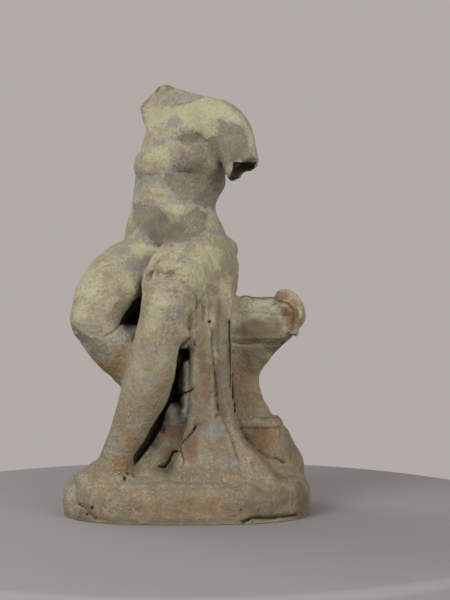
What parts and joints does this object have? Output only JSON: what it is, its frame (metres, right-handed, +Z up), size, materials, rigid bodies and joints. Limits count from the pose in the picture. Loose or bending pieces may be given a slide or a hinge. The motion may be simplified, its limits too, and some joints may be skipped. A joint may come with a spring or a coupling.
{
  "type": "seated woman statuette",
  "caption": "Headless, armless fired-clay figure of a woman seated on a moulded block, cloth over her lap falling to a low oval plinth, all in one piece.",
  "frame": {"origin": "centre of the plinth's footprint, on its flat underside", "axes": "+Z up the figure; -Y is the front, where the knees are; +X is the viewer's right, where the seat's end shows"},
  "size_m": [0.1124, 0.08, 0.1989],
  "materials": {
    "terracotta": "unglazed fired clay under a grey-yellow crust, rough"
  },
  "bodies": {
    "root": {"seated_woman": "terracotta"}
  },
  "joints": []
}
